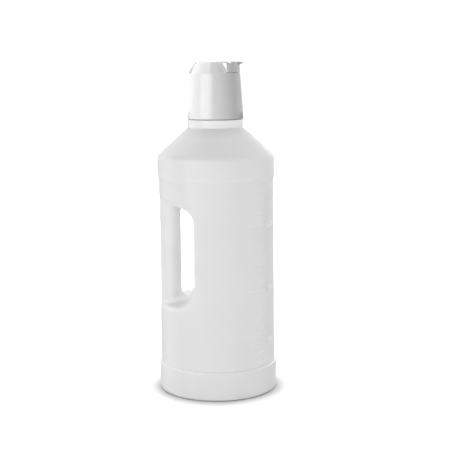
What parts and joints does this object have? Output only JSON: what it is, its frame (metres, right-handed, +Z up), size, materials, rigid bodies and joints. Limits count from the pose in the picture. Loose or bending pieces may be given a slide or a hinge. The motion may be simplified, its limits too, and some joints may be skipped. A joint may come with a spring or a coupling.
{
  "type": "calf feeding bottle",
  "caption": "Tall plastic calf feeding bottle with a side hand opening, tapered screw cap, flip lid and a stored rubber teat.",
  "frame": {"origin": "middle of the foot, on the surface that the bottle stands on", "axes": "+Z up along the bottle, -X towards the handle, +X towards the lid's finger lip, +Y to the back"},
  "size_m": [0.1202, 0.1202, 0.3323],
  "materials": {
    "bottle_plastic": "satin, milky white, blow moulded",
    "cap_plastic": "glossy white, injection moulded",
    "lid_plastic": "glossy white, injection moulded",
    "teat_rubber": "soft matt red-brown rubber",
    "valve_plastic": "natural white",
    "ball_steel": "polished stainless steel"
  },
  "bodies": {
    "bottle": {"bottle": "bottle_plastic"},
    "teat_stack": {"teat": "teat_rubber", "slip_ring": "valve_plastic", "vent_body": "valve_plastic", "vent_cage": "valve_plastic"},
    "cap": {"screw_cap": "cap_plastic"},
    "lid": {"flip_lid": "lid_plastic"},
    "ball": {"vent_ball": "ball_steel"}
  },
  "joints": [
    {"name": "stack_lift", "type": "slide", "parent": "bottle", "child": "teat_stack", "axis": [0, 0, 1], "range_m": [0, 0.0136]},
    {"name": "cap_turn", "type": "hinge", "parent": "teat_stack", "child": "cap", "pos_m": [0, 0, 0.29], "axis": [0, 0, 1], "range_deg": [0, 1080]},
    {"name": "lid_open", "type": "hinge", "parent": "cap", "child": "lid", "pos_m": [-0.0243, 0, 0.3224], "axis": [0, -1, 0], "range_deg": [0, 140]},
    {"name": "ball_lift", "type": "slide", "parent": "teat_stack", "child": "ball", "axis": [0, 0, 1], "range_m": [0, 0.0012]}
  ],
  "couplings": [
    {"joint": "stack_lift", "follows": "cap_turn", "m_per_rad": 0.0007162}
  ]
}
